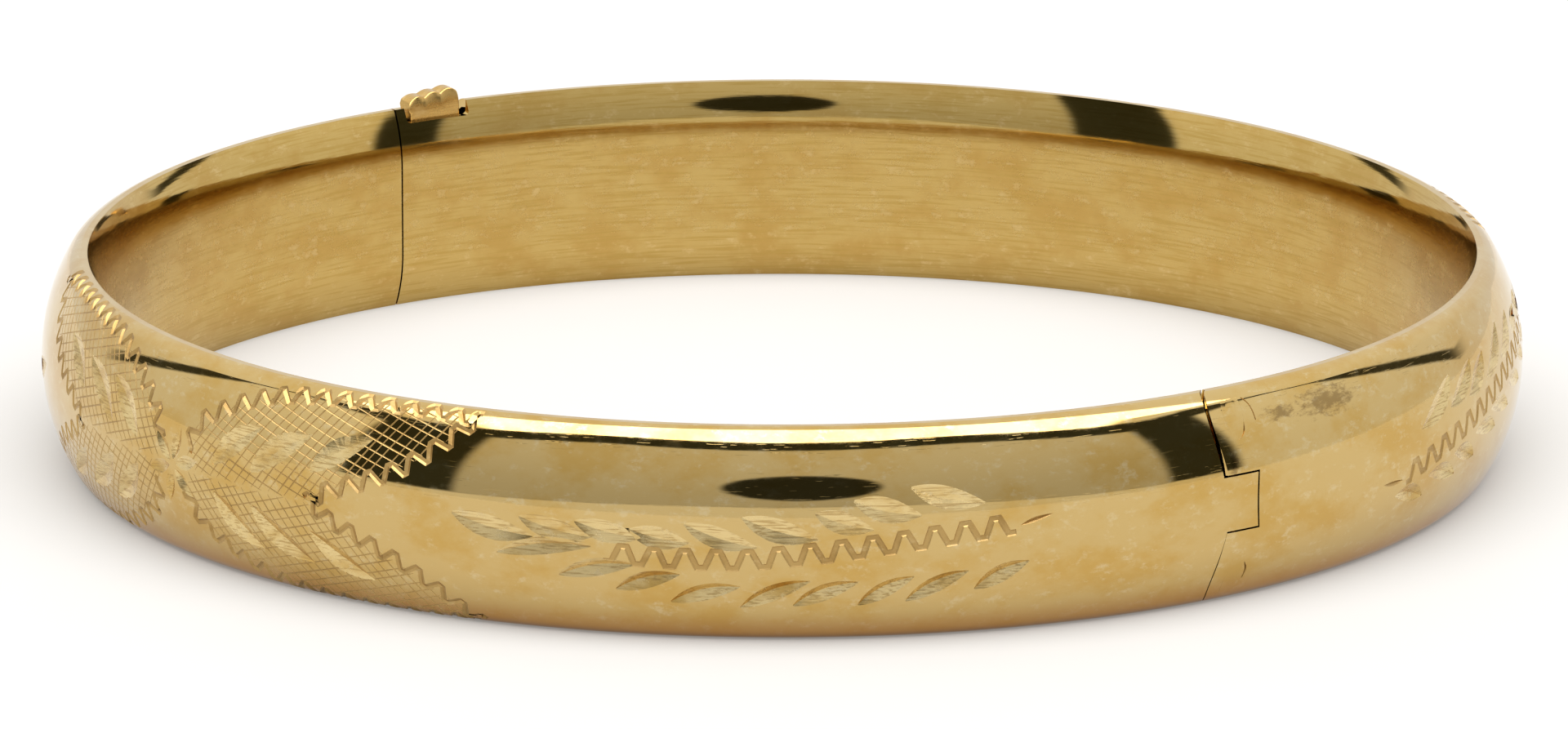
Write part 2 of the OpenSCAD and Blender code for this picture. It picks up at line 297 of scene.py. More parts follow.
class Cutter:
    """Collects the vertices and faces of many cuts that go into one pass."""

    def __init__(self):
        self.points, self.faces, self.kinds = [], [], []

    def sweep(self, path, left, right, depth, kind, floor=0.0):
        """One cut along path, (s, t) in millimetres. left and right are its widths at the surface on each
        side of its deepest line, depth its depths, and floor the half-width of a flat bottom."""
        path = np.asarray(path, dtype=float)
        n = len(path)
        given = (left, right, depth, floor)
        left, right, depth, floor = (np.broadcast_to(np.asarray(v, float), (n,)) for v in given)
        # mitred sideways directions
        edge = np.diff(path, axis=0)
        edge /= np.linalg.norm(edge, axis=1)[:, None]
        ahead = np.vstack([edge, edge[-1]])
        behind = np.vstack([edge[0], edge])
        tangent = ahead + behind
        tangent /= np.maximum(np.linalg.norm(tangent, axis=1), 1e-6)[:, None]
        side = np.column_stack([-tangent[:, 1], tangent[:, 0]])
        stretch = 1 / np.maximum(np.abs((side * np.column_stack([-ahead[:, 1], ahead[:, 0]])).sum(1)), 0.45)
        safe = np.maximum(depth, 1e-3)
        rings = []
        flat = bool(floor.max() > 0)
        for sign, width in ((1, left), (-1, right)):
            slope = (width - floor) / safe
            rings.append((sign * (width + slope * LIFT) * stretch, np.full(n, LIFT)))
            if flat:
                rings.append((sign * floor * stretch, -depth))
        if not flat:
            rings.append((np.zeros(n), -depth))
            order = [0, 2, 1]
        else:
            order = [0, 1, 3, 2]
        base = sum(len(p) for p in self.points)
        size = len(order)
        ring_points = []
        for k in order:
            across, height = rings[k]
            st = path + side * across[:, None]
            ring_points.append(on_band(st[:, 0], st[:, 1], height))
        self.points.append(np.stack(ring_points, axis=1).reshape(-1, 3))
        for i in range(n - 1):
            for j in range(size):
                a = base + i * size + j
                b = base + i * size + (j + 1) % size
                self.faces.append((a, b, b + size, a + size))
                self.kinds.append(kind)
        self.faces.append(tuple(base + j for j in reversed(range(size))))
        self.faces.append(tuple(base + (n - 1) * size + j for j in range(size)))
        self.kinds += [kind, kind]

    def leaf(self, start, end, width, depth, bend=0.0, crease=0.35, kind=BRIGHT_CUT):
        """A lens-shaped bright cut from start to end. crease is the share of its width on the right of its
        deepest line, and bend how far it bows to the left, as a share of its length."""
        start, end = np.array(start, float), np.array(end, float)
        # the graver leans against the dome, so it digs deeper below the crown than above it
        depth = depth * np.clip(1.25 - 0.22 * (start[1] + end[1]) / 2, 0.8, 1.8)
        f = np.linspace(0.0, 1.0, 15)
        across = np.array([-(end - start)[1], (end - start)[0]])
        path = start + np.outer(f, end - start) + np.outer(bend * np.sin(math.pi * f), across)
        swell = np.sin(math.pi * np.clip(f, 0.012, 0.988) ** 0.9) ** 0.8
        self.sweep(path, width * (1 - crease) * swell, width * crease * swell, depth * swell, kind)

    def build(self, name):
        """The object that is taken off the shell. Its faces carry the slots of the cuts that they leave."""
        mesh = bpy.data.meshes.new(name)
        mesh.from_pydata([tuple(p) for p in np.vstack(self.points)], [], self.faces)
        for _ in range(SLOTS):
            mesh.materials.append(None)
        mesh.polygons.foreach_set("material_index", self.kinds)
        piece = bpy.data.objects.new(name, mesh)
        bpy.context.scene.collection.objects.link(piece)
        only(piece)
        bpy.ops.object.mode_set(mode="EDIT")
        bpy.ops.mesh.select_all(action="SELECT")
        bpy.ops.mesh.quads_convert_to_tris()
        bpy.ops.mesh.normals_make_consistent(inside=False)
        bpy.ops.object.mode_set(mode="OBJECT")
        return piece


def wriggle(stem, pitch, height, flat):
    """The corners of a walked zigzag along a stem line: flat-topped teeth, as a rocked graver leaves."""
    stem = resample(stem, pitch / 2)
    edge = np.gradient(stem, axis=0)
    edge /= np.linalg.norm(edge, axis=1)[:, None]
    side = np.column_stack([-edge[:, 1], edge[:, 0]])
    corners = []
    for i, (p, e, q) in enumerate(zip(stem, edge, side)):
        up = 1 if i % 2 else -1
        top = p + q * up * height / 2
        corners.append(top - e * flat * pitch / 4)
        corners.append(top + e * flat * pitch / 4)
    return np.array(corners)


# Half of the central bow, on the side of growing s, from the flower's centre. The other quarters mirror it.
LOBE_OUTER = [(1.0, 1.0), (1.7, 2.2), (3.6, 3.3), (5.8, 4.1), (8.2, 4.5), (11.0, 4.7), (13.8, 4.75),
              (16.2, 4.6)]
LOBE_INNER = [(16.2, 4.6), (14.6, 3.2), (13.0, 2.1), (11.0, 1.2), (9.4, 0.6), (8.4, 0.0)]
# start, end and width of its leaves
BOW_LEAVES = [((2.8, 0.6), (5.5, 2.7), 1.05), ((5.1, 0.7), (8.3, 2.8), 1.1), ((8.4, 1.3), (11.4, 3.1), 1.0)]
HATCH_TURNS = (-17, 52)  # degrees from the band's length
HATCH_ENDS = 0.05  # gap between a line's end and the lobe's edge
SHORTEST_LINE = 0.5
PETALS = 6


def clip_to(polygon, origin, direction):
    """The stretches of a straight line that lie inside a polygon."""
    hits = []
    for a, b in zip(polygon, np.roll(polygon, -1, axis=0)):
        e = b - a
        det = direction[0] * -e[1] + direction[1] * e[0]
        if abs(det) < 1e-9:
            continue
        d = a - origin
        f = (d[0] * -e[1] + d[1] * e[0]) / det
        g = (direction[0] * d[1] - direction[1] * d[0]) / det
        if 0 <= g < 1:
            hits.append(f)
    hits.sort()
    return [(origin + direction * a, origin + direction * b) for a, b in zip(hits[::2], hits[1::2])]


def hatch(cutter, centre, flip, turn, spacing, sizes, rng):
    """One family of fine parallel lines over one quarter of the bow."""
    outline = np.vstack([smooth_line(LOBE_OUTER, 0.4), smooth_line(LOBE_INNER, 0.4)[1:], [(1.0, 0.05)]])
    outline = outline * flip
    angle = math.radians(turn) * flip[0] * flip[1]
    along = np.array([math.cos(angle), math.sin(angle)])
    across = np.array([-along[1], along[0]])
    reach = outline @ across
    k = math.ceil(reach.min() / spacing)
    while k * spacing < reach.max():
        shift = (k + 0.25 * (rng.random() - 0.5)) * spacing
        for a, b in clip_to(outline, across * shift, along):
            length = np.linalg.norm(b - a)
            if length < SHORTEST_LINE:
                continue
            inset = (b - a) / length * HATCH_ENDS
            path = resample([a + inset, b - inset], 0.45) + centre
            step = np.arange(len(path))
            ends = np.minimum(1, np.minimum(step, step[::-1]) * 0.5 + 0.35)
            width = sizes.hatch_width / 2 / MM * (0.8 + 0.4 * rng.random())
            cutter.sweep(path, width * ends, width * ends, 0.45 * width * ends, LINE_CUT)
        k += 1


def bow(passes, centre, sizes, rng):
    """The central bow: two pairs of hatched lobes with leaves and wriggled edges, and a flower between."""
    leaves, zigzags, hatch_a, hatch_b = passes
    depth = sizes.leaf_depth / MM
    for x in (1, -1):
        for y in (1, -1):
            flip = np.array((x, y), dtype=float)
            for a, b, width in BOW_LEAVES:
                leaves.leaf(centre + np.array(a) * flip, centre + np.array(b) * flip, width, depth,
                            bend=0.06 * x * y, crease=0.5)
            spacing = sizes.hatch_spacing / MM
            hatch(hatch_a, centre, flip, HATCH_TURNS[0], spacing, sizes, rng)
            hatch(hatch_b, centre, flip, HATCH_TURNS[1], 0.95 * spacing, sizes, rng)
            for line in (LOBE_OUTER, LOBE_INNER):
                path = wriggle(smooth_line(np.array(line) * flip + centre, 0.3), 1.15, 0.6, 0.35)
                zigzags.sweep(path, 0.1, 0.15, 0.06, LINE_CUT)
    for k in range(PETALS):
        angle = math.radians(360 / PETALS * k + 15)
        d = np.array([math.cos(angle), math.sin(angle)])
        leaves.leaf(centre + 0.25 * d, centre + 1.75 * d, 0.62, 0.8 * depth, crease=0.5)


# Leaves of a branch: distance from the bow's side, length, and heights of the tip and the root above the stem
UPPER_LEAVES = [(0, 3.6, 1.1, 0.4), (3, 3.1, 1.2, 0.6), (5.4, 2.8, 1.2, 0.8), (7.7, 2.5, 1.1, 0.7),
                (10, 3, 1.5, 0.5), (12.4, 3.1, 1.8, 0.6), (15.4, 2.4, 1.7, 0.7), (17, 2.8, 2, 1),
                (19.4, 3.1, 2.2, 1.1)]
LOWER_LEAVES = [(2, 4.1, -0.4, 0.2), (4.7, 3.2, -1.2, -0.4), (7.1, 2.7, -1.6, -0.7), (9.4, 2.9, -2, -1.2),
                (12.3, 2.9, -2.2, -1.2), (14.5, 2.7, -2.3, -1.5), (17.2, 2.3, -2.6, -1.6),
                (19.2, 2.6, -2.7, -1.7), (22.1, 2.3, -2.6, -1.7)]
LEAF_ROW = 20  # length over which spread_out is reached
STEM_FROM, STEM_TO = 6.8, 23.6  # the wriggled part of the stem
STEM_TIP = 25.4


def branch(passes, base, mirror, stem, spread_out, sizes, rng):
    """A branch of leaves either side of a wriggled stem. mirror is 1 where it points towards growing s, and
    spread_out is how much further from the stem its last upper and lower leaves stand."""
    leaves, zigzags = passes[0], passes[1]
    depth = sizes.leaf_depth / MM

    def place(x, y):
        return np.array([base + mirror * x, y])

    def stem_at(x):
        return np.interp(x, [p[0] for p in stem], [p[1] for p in stem])

    for row, away, width, bend, crease in ((UPPER_LEAVES, spread_out[0], 0.95, -0.05, 0.45),
                                           (LOWER_LEAVES, spread_out[1], 0.78, 0.05, 0.55)):
        for x, length, tip, root in row:
            shift = away * x / LEAF_ROW
            start = place(x, stem_at(x) + tip + shift)
            end = place(x + length, stem_at(x + length) + root + shift)
            leaves.leaf(start, end, width * (0.94 + 0.12 * rng.random()), depth, bend=bend * mirror,
                        crease=crease)
    line = [place(x, stem_at(x)) for x in np.linspace(STEM_FROM, STEM_TO, 40)]
    path = wriggle(line, 1.28, 0.72, 0.5)
    half = sizes.ribbon_width / 2 / MM
    zigzags.sweep(path, half, half, 0.035, LINE_CUT, floor=0.6 * half)
    start = STEM_TO + 0.4
    zigzags.leaf(place(start, stem_at(start) - 0.1), place(STEM_TIP, stem_at(STEM_TIP) + 0.15), 0.2, 0.08,
                 kind=LINE_CUT)


# Stem lines: distance from the bow's side and height above the crown
FRONT_STEM = [(0, -0.6), (5, -0.55), (9, -0.75), (12.5, -0.75), (16, -0.4), (20, 0.06), (24, 0.45), (27, 0.7)]
BACK_STEM = [(0, 1.2), (5, 1.5), (9, 1.5), (12.5, 1.1), (16, 0.5), (20, -0.15), (24, -0.9), (27, -1.3)]

# Hair-lines beside the hinge, on the back half: the solder's edge, and where it has shrunk from the two tubes
SOLDER_EDGE = [(1.45, 4.35), (1.72, 4.05), (1.84, 3.7), (1.88, 3.3)]
UPPER_CRESCENT = [(0.22, 3.96), (0.61, 4.03), (1.0, 3.8), (1.17, 3.39), (1.11, 2.9), (0.78, 2.62)]
LOWER_CRESCENT = [(1.17, -2.8), (1.34, -3.2), (1.28, -3.67)]


def engrave(piece, centre, stem, spread_out, sizes, rng):
    """Cuts the bow, the two branches beside it and, on the back half, the hair-lines at the hinge."""
    passes = [Cutter() for _ in range(4)]
    bow(passes, np.array([centre, -0.1]), sizes, rng)
    for mirror in (1, -1):
        branch(passes, centre + mirror * BOW_REACH, mirror, stem, spread_out, sizes, rng)
    if centre == BACK_BOW:
        passes[2].sweep(smooth_line(SOLDER_EDGE, 0.15), 0.03, 0.03, 0.05, LINE_CUT)
        for points in (UPPER_CRESCENT, LOWER_CRESCENT):
            path = smooth_line(points, 0.12)
            width = 0.015 + 0.04 * np.sin(np.linspace(0.0, math.pi, len(path)))
            passes[3].sweep(path, width, width, 0.08, LINE_CUT)
    for number, cutter in enumerate(passes):
        boolean(piece, cutter.build(f"cuts_{number}"))


def polish_normals(piece):
    """Gives the dome its exact normals again, so that the cuts leave no dents in its reflections. A face
    keeps its own normals unless all its corners lie on the dome."""
    mesh = piece.data
    only(piece)
    bpy.ops.object.shade_smooth_by_angle(angle=math.radians(14))
    count = len(mesh.loops)
    loop_vertex = np.empty(count, int)
    mesh.loops.foreach_get("vertex_index", loop_vertex)
    normals = np.empty(count * 3)
    mesh.corner_normals.foreach_get("vector", normals)
    normals = normals.reshape(-1, 3)
    start = np.empty(len(mesh.polygons), int)
    total = np.empty(len(mesh.polygons), int)
    kinds = np.empty(len(mesh.polygons), int)
    face_normals = np.empty(len(mesh.polygons) * 3)
    mesh.polygons.foreach_get("loop_start", start)
    mesh.polygons.foreach_get("loop_total", total)
    mesh.polygons.foreach_get("material_index", kinds)
    mesh.polygons.foreach_get("normal", face_normals)
    face_normals = face_normals.reshape(-1, 3)
    of_face = np.repeat(np.arange(len(start)), total)
    co = coords(piece)[loop_vertex] / MM
    radius = np.hypot(co[:, 0], co[:, 1])
    height = co[:, 2] - HALF_W
    dr, dz = radius - DOME_X, height
    corner = np.abs(np.arctan2(dz, dr)) > DOME_ANGLE
    dr = np.where(corner, radius - (WRIST_R + RIM_R), dr)
    dz = np.where(corner, height - np.sign(height) * CORNER_Z, dz)
    away = np.hypot(dr, dz)
    off = np.where(corner, away - CORNER_R, away - DOME_R)
    exact = np.column_stack([dr / away * co[:, 0] / radius, dr / away * co[:, 1] / radius, dz / away])
    level = (exact * face_normals[of_face]).sum(1) > 0.985
    close = (np.abs(off) < 0.012) & level & (kinds[of_face] == POLISHED)
    good = np.ones(len(start), bool)
    np.logical_and.at(good, of_face, close)
    use = good[of_face]
    normals[use] = exact[use]
    mesh.normals_split_custom_set([tuple(v) for v in normals])


def hinge_cutters(front):
    """What is taken off a half so that it keeps only its own knuckles. The boxes and rods reach well past
    the band, so only their edges on the joint matter."""
    gap = JOINT_GAP / 2
    loose = KNUCKLE_R + KNUCKLE_GAP
    if front:
        slab = box_mm("slab", (24, -gap, -6), (36, 6, 6))
        z = KNUCKLE_Z - KNUCKLE_PLAY
        boolean(slab, rod_mm("own", HINGE_X, PIN_BACK, KNUCKLE_R, -z, z))
        boolean(slab, box_mm("neck", (HINGE_X, -JOINT_GAP, -z), (37, PIN_BACK, z)))
        # the upper knuckle is worn, so its seat is wider
        taken = [rod_mm("upper", HINGE_X, PIN_BACK, loose + SEAT_WEAR, z, 6),
                 rod_mm("lower", HINGE_X, PIN_BACK, loose, -6, -z)]
    else:
        slab = box_mm("slab", (24, -6, -6), (36, gap, 6))
        z = KNUCKLE_Z + KNUCKLE_PLAY
        boolean(slab, box_mm("ahead", (HINGE_X, -6, -6.5), (37, PIN_BACK, 6.5)), operation="UNION")
        for z0, z1 in ((z, 7), (-7, -z)):
            boolean(slab, rod_mm("own", HINGE_X, PIN_BACK, KNUCKLE_R, z0, z1))
        taken = [rod_mm("middle", HINGE_X, PIN_BACK, loose, -z, z)]
    for rod in taken:
        boolean(slab, rod, operation="UNION")
    return slab


def notch_cutter():
    """The rim notch, with the rounded lower corners that a file leaves."""
    piece = box_mm("notch", (-34, NOTCH_Y, HALF_W - NOTCH_DEPTH), (-28, NOTCH_Y + NOTCH_LEN, 6))
    only(piece)
    bpy.ops.object.mode_set(mode="EDIT")
    bpy.ops.mesh.select_mode(type="EDGE")
    bpy.ops.mesh.select_all(action="DESELECT")
    bpy.ops.object.mode_set(mode="OBJECT")
    co = coords(piece)
    for edge in piece.data.edges:
        a, b = (co[i] for i in edge.vertices)
        edge.select = bool(abs(a[0] - b[0]) > MM and a[2] < 2 * HALF_W * MM)
    bpy.ops.object.mode_set(mode="EDIT")
    bpy.ops.mesh.bevel(offset=0.2 * MM, segments=5)
    bpy.ops.object.mode_set(mode="OBJECT")
    return piece


def shell(name, front):
    """One domed shell, cut to its hinge and, on the back half, to its tube seats and its notch."""
    gap = JOINT_GAP / 2 / WRIST_R
    past = SHELL_OVERRUN / CROWN_R
    start, end = (-math.pi + gap, past) if front else (-past, math.pi - gap)
    piece = spin_section(name, shell_section(), start, end, SHELL_STEPS)
    for _ in range(SLOTS):
        piece.data.materials.append(None)
    boolean(piece, hinge_cutters(front))
    if not front:
        for z0, z1 in ((KNUCKLE_Z, 6), (-6, -KNUCKLE_Z)):
            boolean(piece, rod_mm("tube", HINGE_X, PIN_BACK, TUBE_R, z0, z1))
        boolean(piece, notch_cutter())
    return piece


def lining_section():
    """The inside sheet: a flat wall whose edges curl out to the rim seams."""
    lip = math.asin((HALF_W - FLAT_Z) / CURL_R)
    curl = np.linspace(0, lip, 15)
    wall_r = WRIST_R + CURL_R * (1 - np.cos(curl))
    wall_z = FLAT_Z + CURL_R * np.sin(curl)
    inner = CURL_R - WALL
    hidden_lip = math.acos((CURL_R - RIM_R) / inner)
    hidden = np.linspace(0, hidden_lip, 6)
    hidden_r = WRIST_R + CURL_R - inner * np.cos(hidden)
    hidden_z = FLAT_Z + inner * np.sin(hidden)
    flat = [(WRIST_R, z) for z in np.linspace(-FLAT_Z, FLAT_Z, 9)]
    face = [*zip(wall_r[::-1], -wall_z[::-1]), *flat[1:-1], *zip(wall_r, wall_z)]
    back = [*zip(hidden_r[::-1], hidden_z[::-1]), *zip(hidden_r, -hidden_z)]
    rim = WRIST_R + RIM_R
    return [*face, (rim, HALF_W), *back, (rim, -HALF_W)]


def lining(name, front):
    """One inside sheet, cut to its hinge and its notch."""
    gap = JOINT_GAP / 2 / WRIST_R
    past = LINING_OVERRUN / WRIST_R
    start, end = (-math.pi + gap, past) if front else (-past, math.pi - gap)
    piece = spin_section(name, lining_section(), start, end, LINING_STEPS)
    boolean(piece, hinge_cutters(front))
    if not front:
        boolean(piece, notch_cutter())
    piece.data.materials.clear()
    piece.data.polygons.foreach_set("material_index", [0] * len(piece.data.polygons))
    only(piece)
    bpy.ops.object.shade_smooth_by_angle(angle=math.radians(25))
    return piece


# ---------- thumb piece ----------

STEM_OUT = WRIST_R + 1.12  # outer face of the stem
HEAD_LOW = HALF_W - 0.31  # the head's underside stands this far down in the notch
HEAD_RISE = 0.15  # and climbs this much away from the joint, so that it clears the notch when pressed
BUMPS = 3
STEM_SHARE = 0.3  # the share of the rows that goes into the stem


def thumb():
    """The thumb piece: a stem under a head whose scalloped top climbs away from the joint."""
    low, high = (np.array(corner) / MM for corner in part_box("thumb_piece"))
    deselect()
    bpy.ops.mesh.primitive_cube_add(size=1, location=(low + high) / 2 * MM, scale=(high - low) * MM)
    bpy.ops.object.transform_apply(location=True, rotation=True, scale=True)
    piece = added("scalloped_thumb_piece")
    only(piece)
    bpy.ops.object.mode_set(mode="EDIT")
    bpy.ops.mesh.select_all(action="SELECT")
    bpy.ops.mesh.subdivide(number_cuts=17)
    bpy.ops.object.mode_set(mode="OBJECT")
    out, along, up = ((coords(piece) / MM - low) / (high - low)).T
    out = 1 - out  # the outside of the band is towards -X
    in_stem = np.minimum(up / STEM_SHARE, 1)
    in_head = np.maximum((up - STEM_SHARE) / (1 - STEM_SHARE), 0)
    scallop = (0.1 + 0.09 * (1 - out)) * (1 - np.abs(np.sin(BUMPS * math.pi * along)) ** 0.8)
    top = high[2] - 0.3 * (1 - along) ** 1.4 - scallop
    floor = HEAD_LOW + HALF_W + HEAD_RISE * along
    z = low[2] + (floor - low[2]) * in_stem + (top - floor) * in_head
    # the ends lean in towards the top, and the stem is shorter than the head
    start = low[1] + 0.12 + 0.13 * in_head**2 - 0.12 * np.minimum(in_head * 4, 1)
    y = start + (high[1] - 0.06 * in_head**3 - start) * along
    # the head grows outwards above the rim, and its inside face is dished between its corners
    swell = np.clip((z - floor) / 0.35, 0, 1)
    outer = STEM_OUT + (-low[0] - STEM_OUT) * swell
    inner = WRIST_R + 0.57 + 0.05 * in_head * np.sin(math.pi * along) + 0.1 * in_head**3
    radius = inner + (outer - inner) * out
    x = -np.sqrt(radius**2 - y**2)
    set_coords(piece, np.column_stack([x, y, z]) * MM)
    apply_modifier(piece, "SUBSURF", levels=2, render_levels=2)
    only(piece)
    bpy.ops.object.shade_smooth()
    return piece


# ---------- materials ----------


def linear(hex_colour):
    """An sRGB hex colour as a linear RGBA tuple."""
    value = [int(hex_colour[i : i + 2], 16) / 255 for i in (1, 3, 5)]
    return (*(c / 12.92 if c <= 0.04045 else ((c + 0.055) / 1.055) ** 2.4 for c in value), 1.0)


# node settings that recur
SMOOTH = {"interpolation_type": "SMOOTHSTEP"}
COLOUR = {"data_type": "RGBA"}


def add_node(tree, kind, inputs=None, **settings):
    """Adds one node. inputs are values or what to link, by name or index: a socket, or a node for the first
    output that it has in use."""
    node = tree.nodes.new("ShaderNode" + kind)
    for key, value in settings.items():
        setattr(node, key, value)
    for key, value in (inputs or {}).items():
        if isinstance(value, bpy.types.Node):
            value = next(socket for socket in value.outputs if socket.enabled)
        if isinstance(value, bpy.types.NodeSocket):
            tree.links.new(value, node.inputs[key])
        else:
            node.inputs[key].default_value = value
    return node


def band_coordinates(tree):
    """Object coordinates unrolled along the band: distance along it, height, and radius, in millimetres."""
    place = add_node(tree, "TexCoord").outputs["Object"]
    parts = add_node(tree, "SeparateXYZ", {0: place}).outputs
    angle = add_node(tree, "Math", {0: parts["Y"], 1: parts["X"]}, operation="ARCTAN2")
    along = add_node(tree, "Math", {0: angle, 1: CROWN_R}, operation="MULTIPLY")
    height = add_node(tree, "Math", {0: parts["Z"], 1: 1 / MM}, operation="MULTIPLY")
    flat = add_node(tree, "VectorMath", {0: place, 1: (1, 1, 0)}, operation="MULTIPLY")
    radius = add_node(tree, "VectorMath", {0: flat}, operation="LENGTH")
    away = add_node(tree, "Math", {0: radius, 1: 1 / MM}, operation="MULTIPLY")
    return add_node(tree, "CombineXYZ", {0: along, 1: height, 2: away})


def band_grain(tree, place, size, detail, roughness):
    """A grain that follows the band. size is that of its marks along and across the band, in mm."""
    scale = (1 / size[0], 1 / size[1], 1 / size[1])
    moved = add_node(tree, "VectorMath", {0: place, 1: scale}, operation="MULTIPLY")
    return add_node(tree, "TexNoise",
                    {"Vector": moved, "Scale": 1.0, "Detail": detail, "Roughness": roughness})


def gold(name, colours, rough, grain, grain_depth, scratch=0.0, lip=None, streak=None, lower_shade=None, smudges=()):
    """A gold alloy. colours are its clean colour, that of its tarnish clouds and that of its fresh rubs.
    rough is its lowest and highest roughness, and grain the size of its tool marks along and across, in mm.
    lip is the roughness of the curled rims, streak the colour between tool marks, and lower_shade the colour
    of a painted shade on the lower rim, where the dome reflects the shadowed floor. smudges are brown spots:
    distance along, height, length and width, in mm."""
    base, stain, pale = colours
    material = bpy.data.materials.new(name)
    material.use_nodes = True
    tree = material.node_tree
    shader = tree.nodes["Principled BSDF"]
    shader.inputs["Metallic"].default_value = 1.0
    place = band_coordinates(tree)
    height = add_node(tree, "SeparateXYZ", {0: place}).outputs["Y"]
    clouds = band_grain(tree, place, (1 / 0.3, 1 / 0.45), 5.0, 0.62)
    rubs = band_grain(tree, place, (1 / 1.3, 1 / 2.0), 7.0, 0.7)
    marks = band_grain(tree, place, grain, 3.0, 0.55)
    # what lies on the clean metal: a value, where it begins and where it is full, how much, and its colour
    layers = [(clouds, 0.42, 0.66, 1.0, stain), (rubs, 0.53, 0.7, 0.7, pale)]
    if smudges:
        grime = band_grain(tree, place, (1 / 2.2, 1 / 4.5), 8.0, 0.7)
    for along, up, length_mm, width_mm in smudges:
        off = add_node(tree, "VectorMath", {0: place, 1: (along, up + HALF_W, 0)}, operation="SUBTRACT")
        near = add_node(tree, "VectorMath", {0: off, 1: (1 / length_mm, 1 / width_mm, 0)},
                        operation="MULTIPLY")
        away = add_node(tree, "VectorMath", {0: near}, operation="LENGTH")
        ragged = add_node(tree, "Math", {0: grime, 1: -3.6, 2: away}, operation="MULTIPLY_ADD")
        layers.append((ragged, -0.6, -1.6, 0.6, linear("#6A4E2C")))
    if streak:
        layers.append((marks, 0.48, 0.64, 0.7, streak))
    # painted shade: the lowest 1.5 mm of the band are mixed towards this brown, for the shadowed floor that
    # the dome reflects there
    if lower_shade:
        layers.append((height, 1.5, 0.0, 0.75, lower_shade))
    colour = base
    for value, begins, full, most, tint in layers:
        cover = add_node(tree, "MapRange", {0: value, 1: begins, 2: full, 4: most}, **SMOOTH)
        colour = add_node(tree, "Mix", {0: cover, 6: colour, 7: tint}, **COLOUR)
    tree.links.new(colour.outputs[2], shader.inputs["Base Color"])
    roughness = add_node(tree, "MapRange", {0: rubs, 1: 0.35, 2: 0.75, 3: rough[0], 4: rough[1]})
    if lip:
        middle = add_node(tree, "Math", {0: height, 1: HALF_W}, operation="SUBTRACT")
        edge = add_node(tree, "Math", {0: middle}, operation="ABSOLUTE")
        curled = add_node(tree, "MapRange", {0: edge, 1: FLAT_Z + 0.2, 2: FLAT_Z + 1.1}, **SMOOTH)
        roughness = add_node(tree, "Mix", {0: curled, 2: roughness, 3: lip})
    tree.links.new(roughness.outputs[0], shader.inputs["Roughness"])
    bump = add_node(tree, "Bump", {"Strength": 1.0, "Distance": grain_depth * MM, "Height": marks})
    if scratch:
        lines = band_grain(tree, place, (1 / 0.7, 1 / 16.0), 2.0, 0.55)
        fine = add_node(tree, "MapRange", {0: lines, 1: 0.64, 2: 0.7}, **SMOOTH)
        bump = add_node(tree, "Bump", {"Strength": 1.0, "Distance": scratch * MM, "Height": fine,
                                                 "Normal": bump}, invert=True)
    tree.links.new(bump.outputs[0], shader.inputs["Normal"])
    return material


# brown spots beside the hinge: distance along from it, height above the middle, length and width, in mm
SMUDGES = ((6.2, 3.3, 1.7, 0.6), (3.3, 3.3, 1.0, 0.3), (0.35, 1.7, 0.3, 0.5))


def floor_material():
    """A light table's top: opal acrylic, matt, evenly lit from below as well, so that shadows stay thin."""
    material = bpy.data.materials.new("opal acrylic light table")
    material.use_nodes = True
    tree = material.node_tree
    shader = tree.nodes["Principled BSDF"]
    place = add_node(tree, "TexCoord").outputs["Object"]
    noise = add_node(tree, "TexNoise", {"Vector": place, "Scale": 60.0, "Detail": 3.0})
    colour = add_node(tree, "Mix", {0: noise, 6: linear("#A1A09B"), 7: linear("#A4A39E")}, **COLOUR)
    tree.links.new(colour.outputs[2], shader.inputs["Base Color"])
    shader.inputs["Roughness"].default_value = 0.7
    shader.inputs["Specular IOR Level"].default_value = 0.2
    shader.inputs["Emission Color"].default_value = linear("#FFFDFA")
    shader.inputs["Emission Strength"].default_value = 0.22
    return material


# ---------- studio ----------

CAMERA_AZIMUTH = 54.5  # degrees from the front of the band
CAMERA_ELEVATION = 14.8
CAMERA_DISTANCE = 597.1  # from the middle of the band, in mm
CAMERA_SHIFT = (0.078, -0.825)  # to the right and up, in mm
CAMERA_LENS = 317.8

SOFTBOX_LIGHT = (5.0, 4.95, 5.2, 1)
STRIP_LIGHT = (0.06, 0.06, 0.045, 1)
FRAME_LIGHT = (0.045, 0.048, 0.035, 1)
CAMERA_LIGHT = (0.032, 0.034, 0.026, 1)


